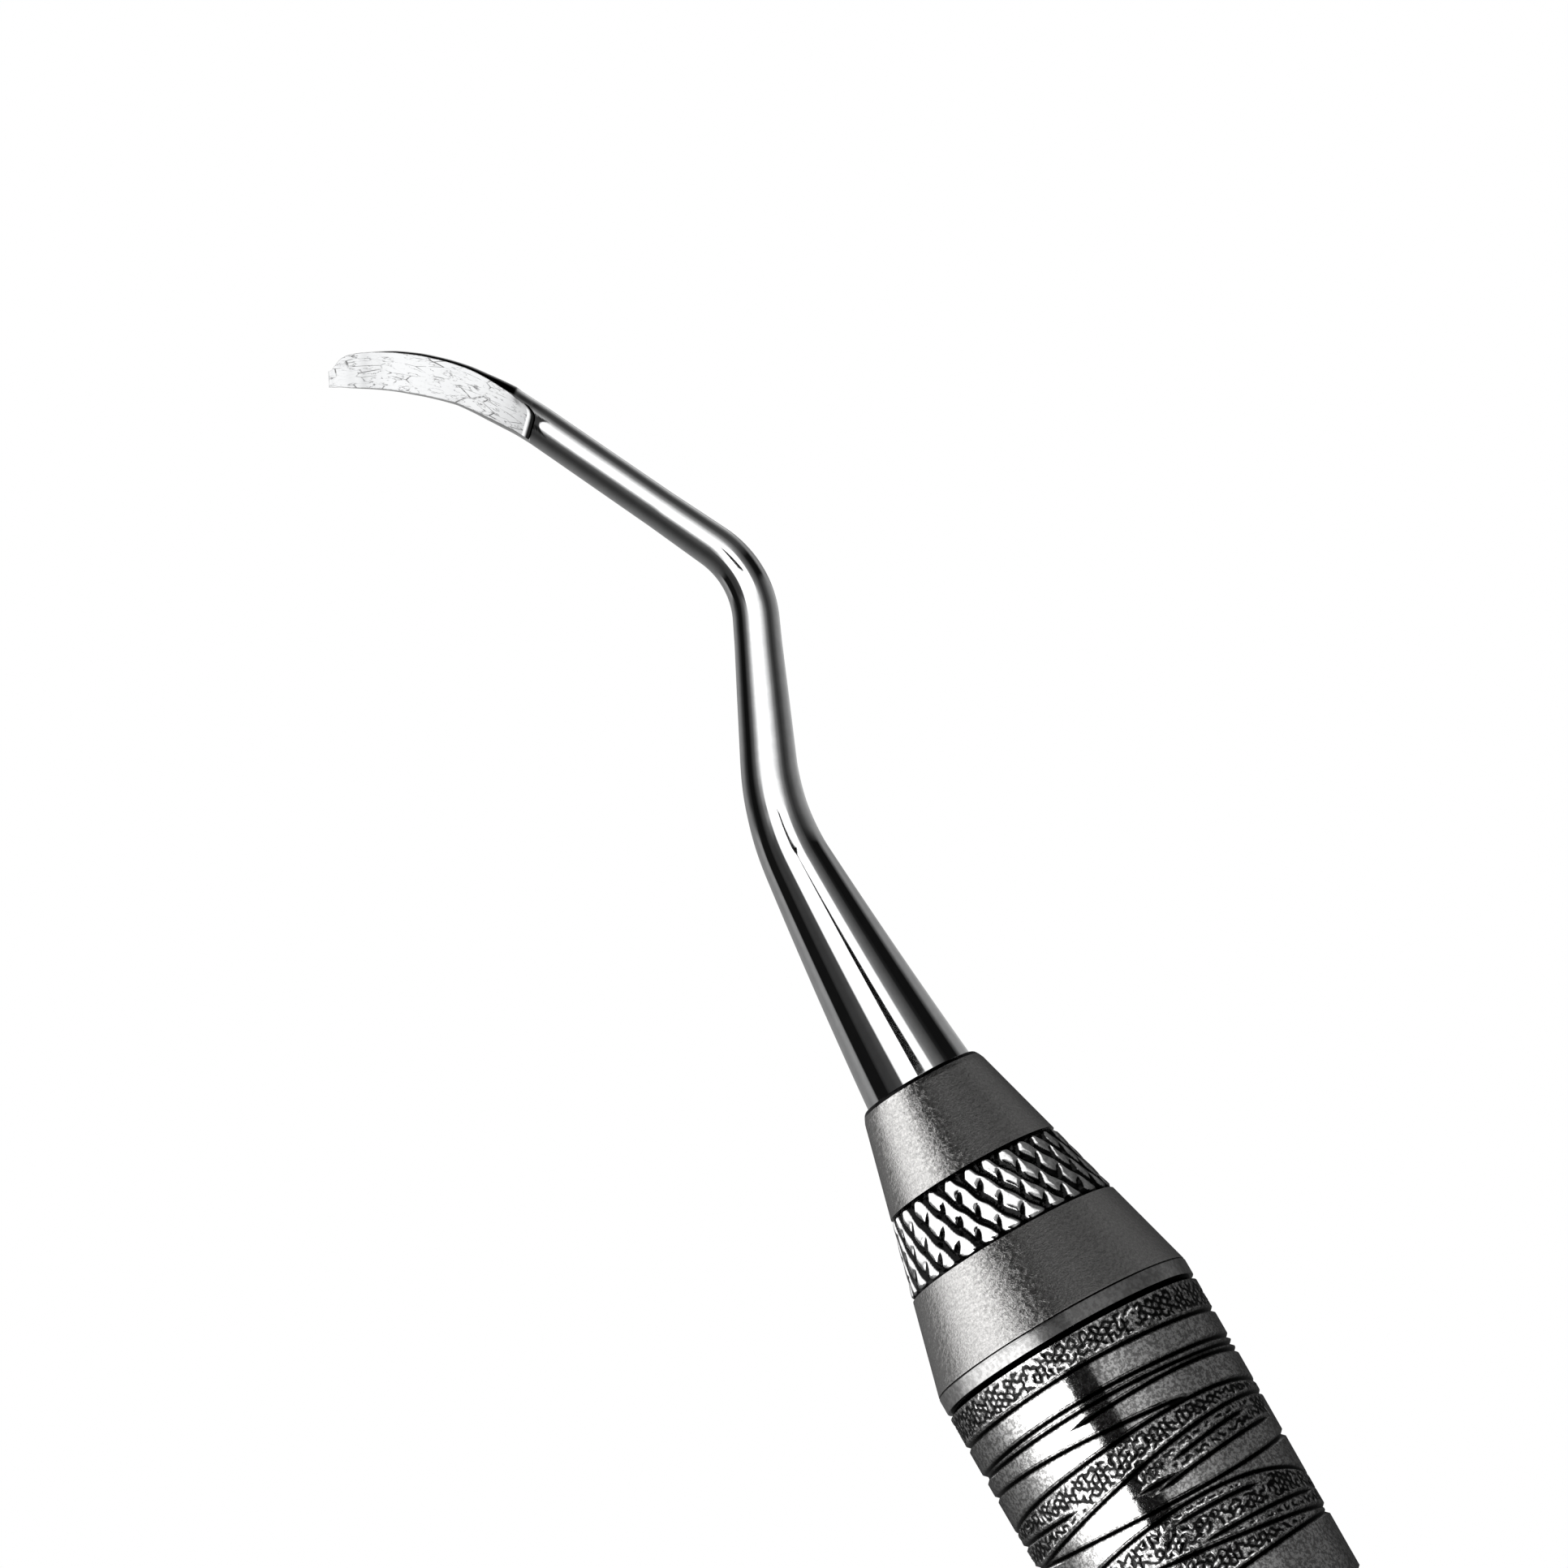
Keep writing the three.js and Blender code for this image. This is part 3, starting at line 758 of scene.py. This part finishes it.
def make_knurl_ring(end, material):
    """Bold cuts of one hand leave long lands, and shallower cuts of the other hand notch each land
    from one side."""
    x = stretch(RING_START, RING_END, 0.05)[:, None]
    angle = np.arange(KNURL_COLUMNS)[None, :] * 2 * math.pi / KNURL_COLUMNS
    middle_r = cone_radius((RING_START + RING_END) / 2)
    advance = math.tan(KNURL_SLANT) * KNURL_STARTS / (2 * math.pi * middle_r)
    waver = 0.05 * np.sin(9 * angle + 2.1 * x) + 0.04 * np.sin(23 * angle - 3.3 * x)
    turn = angle * KNURL_STARTS / (2 * math.pi) + waver
    across = (turn + (x - RING_START) * advance) % 1
    crossing = (turn - (x - RING_START) * advance + 0.3) % 1
    main = MAIN_CUT * (2 * np.abs(across - 0.5)) ** 2.7
    reach = 1 - 0.85 * smooth(0.35, 0.8, across)
    cross = CROSS_CUT * reach * (2 * np.abs(crossing - 0.5)) ** 3.4
    depth = np.maximum(main, cross) + 0.25 * np.minimum(main, cross)
    edge = np.minimum(x - RING_START, RING_END - x)
    depth = depth + 0.1 * (1 - smooth(0, 0.16, edge))
    radius = cone_radius(x) - depth
    skin = around(np.broadcast_to(x, radius.shape), radius, KNURL_COLUMNS)
    inner_x = np.array([RING_END, RING_START])
    inner = around(inner_x, cone_radius(inner_x) - 0.34, KNURL_COLUMNS)
    verts, faces = ring_grid(np.concatenate([skin, inner]), True)
    piece = make_piece(f"knurl_{end}", f"knurl_ring_{end}", verts, faces, material)
    # painted shade down the cuts, and on the ring's inner faces
    sunk = smooth(0.025, 0.085, depth)
    add_value(piece, "groove", np.concatenate([sunk.ravel(), np.ones(2 * KNURL_COLUMNS)]))
    return piece


# ---- working end ----

# The centreline from the tang's inner end, as (length, turn in degrees).
CENTRELINE = [(13.92, 0), (8.33, -1.96), (3.75, -22.92), (4.8, 0), (2.94, 50.1), (7.06, 0),
              (7.09, 37.53), (0.48, 0)]
PATH_LENGTH = sum(length for length, _ in CENTRELINE)
MOUTH_AT = NOSE_RIM_X - TANG_START
TANG_R, CONE_START_AT = 1.245, 54.2 - TANG_START
# The shank's radius against the distance from the cone's mouth.
SHANK_TAPER = [(0, SHANK_MOUTH_R), (8.7, 1.15), (10.3, 1.035), (11.9, 0.955), (14.5, 0.86), (16, 0.8),
               (18, 0.765), (22, 0.68), (26, 0.665), (31.5, 0.665)]
# The blade against the distance from its toe: half widths on its outer and inner side, the rim of
# round back left outside the ground face on each side, and the depth of the back.
BLADE_SHAPE = [
    (0, 0.02, 0.52, 0.00004, 0, 0.25),
    (0.08, 0.04, 0.525, 0.0001, 0, 0.28),
    (0.16, 0.12, 0.53, 0.0005, 0, 0.3),
    (0.24, 0.22, 0.53, 0.0011, 0, 0.31),
    (0.34, 0.34, 0.53, 0.002, 0, 0.32),
    (0.43, 0.42, 0.54, 0.003, 0, 0.33),
    (0.57, 0.5, 0.56, 0.0048, 0, 0.35),
    (0.75, 0.56, 0.58, 0.009, 0, 0.37),
    (1.1, 0.615, 0.6, 0.02, 0, 0.38),
    (1.6, 0.67, 0.61, 0.052, 0.001, 0.41),
    (2.2, 0.74, 0.62, 0.1, 0.002, 0.45),
    (3, 0.78, 0.64, 0.125, 0.006, 0.49),
    (4, 0.785, 0.625, 0.14, 0.015, 0.55),
    (4.6, 0.775, 0.61, 0.15, 0.03, 0.58),
    (5.2, 0.74, 0.655, 0.185, 0.045, 0.61),
    (5.8, 0.735, 0.695, 0.28, 0.06, 0.63),
    (6.4, 0.735, 0.7, 0.34, 0.065, 0.65),
    (6.9, 0.7, 0.68, 0.37, 0.065, 0.66),
    (7.6, 0.665, 0.665, 0.37, 0.065, 0.665),
]
FACE_DROP = 0.22  # how much lower the ground face is at its inner edge near the heel, as a share
HEEL_AT = PATH_LENGTH - 7.56
HEEL_WALL = 0.08
HEEL_SKEW = 0.43  # how much further towards the toe the heel's outer side lies
HEEL_CORNER = 0.28
HEEL_SHADE = 0.2  # how far behind the heel the painted shade on the shank reaches, so that its highlight begins there
TOE_STEPS = (0.9, 0.8, 0.7, 0.6, 0.5, 0.42, 0.34, 0.27, 0.2, 0.14, 0.08, 0.03, 0)
FACE_SHARES = (0, 0.03, 0.1, 0.2, 0.32, 0.44, 0.56, 0.68, 0.8, 0.9, 0.97, 1)
BACK_COLUMNS = 44


def centreline(distance):
    """x, y and heading of the centreline at each distance along it."""
    x, y, heading = (np.zeros(np.shape(distance)) for _ in range(3))
    x += TANG_START
    left = np.array(distance, float)
    for length, degrees in CENTRELINE:
        run = np.clip(left, 0, length)
        turn = math.radians(degrees) * run / length
        chord = run * np.sinc(turn / 2 / math.pi)
        x += chord * np.cos(heading + turn / 2)
        y += chord * np.sin(heading + turn / 2)
        heading += turn
        left -= run
    return x, y, heading


def shank_radius(distance):
    from_mouth = distance - MOUTH_AT
    if from_mouth >= 0:
        return float(np.interp(from_mouth, *np.array(SHANK_TAPER).T))
    share = (distance - CONE_START_AT) / (MOUTH_AT - CONE_START_AT)
    return TANG_R + (SHANK_MOUTH_R - 0.03 - TANG_R) * max(share, 0)


def shank_stations():
    """Distances along the centreline that get a ring of points."""
    heel = HEEL_AT + HEEL_WALL * (1 - np.cos(np.linspace(0, math.pi / 2, 10)))
    parts = [stretch(0, MOUTH_AT - 0.05, 1.5), stretch(MOUTH_AT, HEEL_AT - 0.6, 0.14)]
    parts += [stretch(HEEL_AT - 0.5, HEEL_AT - 0.02, 0.06), heel]
    parts += [stretch(HEEL_AT + 0.35, PATH_LENGTH - 1, 0.12), PATH_LENGTH - np.array(TOE_STEPS)]
    return np.concatenate(parts)


def section(distance):
    """One ring of (side, up) points: the ground face from its inner edge to its outer one, and then
    the round back. Before the heel all of it lies on the round."""
    r = shank_radius(distance)
    table = np.array(BLADE_SHAPE).T
    toe_distance = PATH_LENGTH - distance
    shape = [np.interp(toe_distance, table[0], row) for row in table[1:]]
    outer, inner, outer_rim, inner_rim, depth = shape if distance >= HEEL_AT else (r, r, 0, 0, r)
    share = np.array(FACE_SHARES)
    squareness = 1.0  # below 1 the inner side's upper quarter is fuller than round
    top = r
    if distance < HEEL_AT:
        half = math.radians(3 + 32 * smooth(0, 0.5, HEEL_AT - distance))
        start, stop = math.pi / 2 - half, math.pi / 2 + half
        turn = start + (stop - start) * share
        face = np.stack([np.cos(turn) * r, np.sin(turn) * top], 1)
    else:
        # at the heel a quarter-round cove climbs from the face to the top of the shank
        along = min((distance - HEEL_AT) / HEEL_WALL, 1)
        cove = 1 - math.sqrt(1 - (1 - along) ** 2)
        outer_level = math.sin(math.acos(1 - outer_rim / outer))
        inner_level = max(outer_level - FACE_DROP * float(smooth(3, 7, toe_distance)), 0.03)
        inner_level = min(inner_level, 0.97)
        square = math.log(max(1 - inner_rim / inner, 1e-3)) / math.log(math.cos(math.asin(inner_level)))
        squareness = 1 + (min(square, 1) - 1) * (1 - cove)
        start, stop = (math.asin(min(level + (0.9986 - level) * cove, 0.9986))
                       for level in (inner_level, outer_level))
        stop = math.pi - stop
        a = np.array([math.cos(start) ** squareness * inner, math.sin(start) * top])
        b = np.array([math.cos(stop) * outer, math.sin(stop) * top])
        face = a + (b - a) * share[:, None]
    turn = stop + (2 * math.pi + start - stop) * np.linspace(0, 1, BACK_COLUMNS + 2)[1:-1]
    cosine, sine = np.cos(turn), np.sin(turn)
    power = np.where((cosine > 0) & (sine > 0), squareness, 1)
    side = np.abs(cosine) ** power * np.where(cosine > 0, inner, -outer)
    return np.concatenate([face, np.stack([side, sine * np.where(sine > 0, top, depth)], 1)])


def heel_bow(distance, side):
    """How far towards the toe a point near the heel moves, to slant the heel and round its corner."""
    skew = HEEL_SKEW * np.clip(0.5 - side / 1.33, 0, 1)
    out = np.clip((-side - 0.3 + HEEL_CORNER) / HEEL_CORNER, 0, 1)
    beyond = np.maximum(np.abs(distance - HEEL_AT - HEEL_WALL / 2) - HEEL_WALL / 2, 0)
    return (skew + HEEL_CORNER * (1 - np.sqrt(1 - out**2))) * smooth(1.7, 0, beyond)


def make_blade(end, polished, ground):
    stations = shank_stations()
    sections = np.array([section(s) for s in stations])
    side, up = sections[..., 0], sections[..., 1]
    x, y, heading = centreline(stations[:, None] + heel_bow(stations[:, None], side))
    rows = np.stack([x - side * np.sin(heading), y + side * np.cos(heading), up], -1)
    verts, faces = ring_grid(rows, False)
    piece = make_piece(f"blade_{end}", f"blade_and_shank_{end}", verts, faces,
                       polished, crease=28, mirrored=True)
    piece.data.materials.append(ground)
    face_columns, columns = len(FACE_SHARES), len(FACE_SHARES) + BACK_COLUMNS
    first_row = int(np.searchsorted(stations, HEEL_AT + 1e-6))
    for face in piece.data.polygons:
        row = min(face.vertices) // columns
        if row >= first_row + 9 and all(v % columns < face_columns for v in face.vertices):
            face.material_index = 1
    inside = np.zeros((len(stations), columns))
    inside[first_row + 9 : -1, 1 : face_columns - 1] = 1
    ends = np.zeros(2)
    add_value(piece, "inside", np.append(inside.ravel(), ends))
    # painted shade, stored as the groove value: the heel's wall and the back's rim beside the face's outer
    # edge
    corner = np.zeros((len(stations), columns))
    corner[first_row : first_row + 9, :face_columns] = 1
    rim = smooth(1, 1.7, PATH_LENGTH - stations) * smooth(6.9, 6.2, PATH_LENGTH - stations)
    corner[:, face_columns : face_columns + 8] = rim[:, None]
    # painted shade just behind the heel, which gives the shank's highlight a round end
    behind = HEEL_AT - stations[:, None]
    shade = smooth(0.05, -0.05, behind - HEEL_SHADE - 6 * side**2) * smooth(0.3, 0.2, np.abs(side))
    corner = np.maximum(corner, 0.65 * shade * (behind > -0.001) * (up > 0))
    add_value(piece, "groove", np.append(corner.ravel(), ends))
    along = np.broadcast_to(PATH_LENGTH - stations[:, None], side.shape)
    add_value(piece, "along", np.append(along.ravel(), ends))
    add_value(piece, "side", np.append(side.ravel(), ends))
    return piece


# ---- stage and light ----


def light_path_mix(tree, when_seen, otherwise, output):
    """Shows one shader to the camera and another to everything else."""
    path = tree.nodes.new("ShaderNodeLightPath")
    mix = tree.nodes.new("ShaderNodeMixShader")
    tree.links.new(path.outputs["Is Camera Ray"], mix.inputs["Fac"])
    tree.links.new(otherwise.outputs[0], mix.inputs[1])
    tree.links.new(when_seen.outputs[0], mix.inputs[2])
    tree.links.new(mix.outputs["Shader"], output.inputs["Surface"])


def make_floor():
    """A pale floor that shows plain white to the camera alone, so that it takes no shadow."""
    half = 3.0
    mesh = bpy.data.meshes.new("floor")
    corners = [(-half, -half, 0), (half, -half, 0), (half, half, 0), (-half, half, 0)]
    mesh.from_pydata(corners, [], [(0, 1, 2, 3)])
    material = bpy.data.materials.new("floor")
    material.use_nodes = True
    tree = material.node_tree
    shader = tree.nodes["Principled BSDF"]
    shader.inputs["Base Color"].default_value = grey(0.8)
    glow = tree.nodes.new("ShaderNodeEmission")
    light_path_mix(tree, glow, shader, tree.nodes["Material Output"])
    mesh.materials.append(material)
    floor = bpy.data.objects.new("floor", mesh)
    floor.visible_glossy = floor.visible_diffuse = floor.visible_shadow = False
    bpy.context.scene.collection.objects.link(floor)


def make_world():
    world = bpy.data.worlds.new("studio")
    bpy.context.scene.world = world
    world.use_nodes = True
    tree = world.node_tree
    studio = tree.nodes["Background"]
    studio.inputs["Color"].default_value = grey(0.004)
    white = tree.nodes.new("ShaderNodeBackground")
    white.inputs["Color"].default_value = grey(1.0)
    light_path_mix(tree, white, studio, tree.nodes["World Output"])


def tent_material():
    """Gives off the light stored on the tent's vertices, and lets everything else through."""
    material = bpy.data.materials.new("light_tent")
    material.use_nodes = True
    tree = material.node_tree
    tree.nodes.remove(tree.nodes["Principled BSDF"])
    stored = tree.nodes.new("ShaderNodeAttribute")
    stored.attribute_name = "brightness"
    glow = tree.nodes.new("ShaderNodeEmission")
    tree.links.new(stored.outputs["Fac"], glow.inputs["Strength"])
    clear = tree.nodes.new("ShaderNodeBsdfTransparent")
    both = tree.nodes.new("ShaderNodeAddShader")
    tree.links.new(glow.outputs["Emission"], both.inputs[0])
    tree.links.new(clear.outputs["BSDF"], both.inputs[1])
    tree.links.new(both.outputs["Shader"], tree.nodes["Material Output"].inputs["Surface"])
    return material


def make_tent(name, radius, lit, material, x, brightness, angles=()):
    """A long round light tent about the handle's line that lights only the pieces in lit. x is
    where its rings are, and brightness(x, degrees) gives its light, with the angle counted from
    straight up towards -Y. No two tents may share a radius, or each would hide the other in patches."""
    degrees = np.unique(np.concatenate([np.arange(-180, 180, 2), angles]))
    degrees = degrees[degrees < 180]
    angle = np.radians(degrees)
    turn, along = np.meshgrid(angle, x)
    rows = np.stack([along, -radius * np.sin(turn), radius * np.cos(turn) + AXIS_Z * MM], -1)
    mesh = bpy.data.meshes.new(name)
    mesh.from_pydata(rows.reshape(-1, 3).tolist(), [], grid_faces(len(x), len(angle), False).tolist())
    mesh.materials.append(material)
    tent = bpy.data.objects.new(name, mesh)
    add_value(tent, "brightness", brightness(along, np.degrees(turn)).ravel())
    tent.visible_camera = tent.visible_shadow = False
    bpy.context.scene.collection.objects.link(tent)
    group = bpy.data.collections.new(f"{name}_lights")
    for piece in lit:
        group.objects.link(piece)
    tent.light_linking.receiver_collection = group


def between(profiles, limits, x, degrees):
    """Brightness from profiles of (degrees, brightness) stops that follow each other along x, each
    giving way to the next between two limits."""
    out = np.interp(degrees, *np.array(profiles[0]).T)
    for stops, (low, high) in zip(profiles[1:], limits):
        share = smooth(low, high, x)
        out = out * (1 - share) + np.interp(degrees, *np.array(stops).T) * share
    return out


# The tapered part of a shank looks into its tent's middle, and the bent parts look to either side.
SHANK_NEAR = [(-180, 0.35), (-128, 0.2), (-106, 0.14), (-89, 0.09), (-74, 0.05), (-60, 0.035),
              (-47, 0.045), (-35, 0.09), (-23, 0.18), (-11, 0.4), (0, 1.3), (23, 1.3), (35, 0.82),
              (47, 0.27), (60, 0.065), (74, 0.033), (89, 0.075), (106, 0.19), (128, 0.3), (180, 0.7)]
SHANK_MIDDLE = [(-180, 0.3), (-128, 0.26), (-112, 0.34), (-104, 0.3), (-99, 0.004), (-70, 0.004),
                (-60, 0.04), (-47, 0.045), (-32, 0.085), (-28, 1.6), (36, 1.6), (40, 0.3), (47, 0.17),
                (60, 0.08), (72, 0.014), (80, 0.003), (104, 0.003), (112, 0.1), (120, 0.25),
                (128, 0.28), (180, 0.2)]
SHANK_FAR = [(-180, 0.5), (-128, 0.22), (-115, 0.1), (-106, 0.04), (-90, 0.003), (-74, 0.003),
             (-66, 0.012), (-60, 0.035), (-47, 0.12), (-35, 0.46), (-23, 1.15), (-18, 1.6), (13, 1.6),
             (23, 1.4), (35, 0.85), (47, 0.33), (60, 0.15), (74, 0.065), (89, 0.05), (106, 0.07),
             (120, 0.2), (128, 0.3), (180, 1.2)]
HANDLE_TENT = [(-180, 0.03), (-144, 0.09), (-116, 0.16), (-98, 0.28), (-82, 0.85), (-70, 2), (-62, 3.4),
               (-20, 3.4), (-18.5, 0.01), (4, 0.01), (6, 0.28), (18, 0.44), (28, 0.38), (40, 0.24),
               (54, 0.19), (66, 0.12), (82, 0.1), (116, 0.09), (144, 0.04), (180, 0.03)]
RING_TENT = [(-180, 0.4), (-150, 1.2), (-120, 1.6), (24, 1.6), (44, 1.3), (54, 1), (64, 0.14),
             (90, 0.14), (180, 0.1)]
CONE_TENT = [(-180, 0.1), (-144, 0.17), (-122, 0.2), (-114, 0.12), (-106, 0.5), (-98, 0.95),
             (-82, 1), (-66, 1.02), (-54, 1), (-44, 0.8), (-34, 0.42), (-27, 0.2), (-22, 0.09),
             (-14, 0.045), (3, 0.04), (6, 0.055), (7, 0.19), (28, 0.17), (54, 0.13), (66, 0.11),
             (82, 0.105), (92, 0.13), (98, 0.16), (104, 0.15), (112, 0.1), (120, 0.12), (144, 0.07),
             (180, 0.06)]
RIM_TENT = [(-180, 0.05), (-115, 0.1), (-100, 1.8), (-48, 1.8), (-36, 0.2), (-24, 0.03), (180, 0.02)]
FLANGE_TENT = [(-180, 0.1), (-144, 0.18), (-116, 0.35), (-98, 1.1), (-82, 1.6), (-66, 1.9),
               (-34, 1.9), (-27, 1.3), (-18, 0.36), (-8, 0.13), (6, 0.13), (14, 0.24), (28, 0.2),
               (40, 0.2), (54, 0.16), (66, 0.13), (82, 0.1), (98, 0.11), (116, 0.17), (144, 0.06),
               (180, 0.05)]


def shank_light(x, degrees):
    """The three profiles, with a dark slit in the middle that tapers out, and a dark far corner."""
    light = between([SHANK_NEAR, SHANK_MIDDLE, SHANK_FAR], [(0.076, 0.088), (0.118, 0.136)], x, degrees)
    slit = (degrees > 2.6 + 800 * (x - 0.102)) & (degrees < 21 - 1100 * (x - 0.104)) & (x > 0.103)
    light = np.where(slit, 0.004, light)
    return light * np.where(degrees > 70, 1 - 0.97 * smooth(0.175, 0.2, x), 1)


def handle_light(x, degrees):
    return between([HANDLE_TENT, RING_TENT], [(0.14, 0.2)], x, degrees)


def cone_light(x, degrees):
    return between([FLANGE_TENT, CONE_TENT, RIM_TENT], [(0.13, 0.17), (0.345, 0.375)], x, degrees)


def make_tents(shanks, round_pieces, cones):
    look = tent_material()
    fine = np.concatenate([[-0.9, -0.3], np.arange(-0.06, 0.1, 0.01), np.arange(0.1, 0.115, 0.0005)])
    fine = np.concatenate([fine, np.arange(0.12, 0.21, 0.01), [0.3, 0.6, 0.9]])
    coarse = np.array([-0.9, -0.3, 0.13, 0.15, 0.17, 0.2, 0.345, 0.36, 0.375, 0.8, 0.9])
    edges = [row[0] for row in SHANK_MIDDLE + SHANK_FAR] + list(np.arange(0, 20, 0.5))
    make_tent("shank_tent", 0.15, shanks, look, fine, shank_light, edges)
    make_tent("handle_tent", 0.33, round_pieces, look, coarse, handle_light,
              [row[0] for row in HANDLE_TENT + RING_TENT])
    make_tent("cone_tent", 0.37, cones, look, coarse, cone_light, [row[0] for row in CONE_TENT])


make_camera()

mirror, satin, shank_look, turned = polished_steel(), satin_steel(), shank_steel(), turned_steel()
ring_steel, ground, rubber = knurl_steel(), ground_steel(), seal_rubber()
shanks, cones, round_pieces = [], [], [make_handle(handle_steel())]
for which in ("a", "b"):
    cones += [make_nose(which, satin), make_bush(which, turned)]
    round_pieces.append(make_knurl_ring(which, ring_steel))
    round_pieces.append(make_seal(which, rubber))
    shanks.append(make_blade(which, shank_look, ground))
    pin = frame["nodes"][f"tang_pin_{which}"]
    pin.data.materials.clear()
    pin.data.materials.append(mirror)

make_floor()
make_world()
make_tents(shanks, round_pieces, cones)
bpy.context.scene.view_settings.view_transform = "Standard"
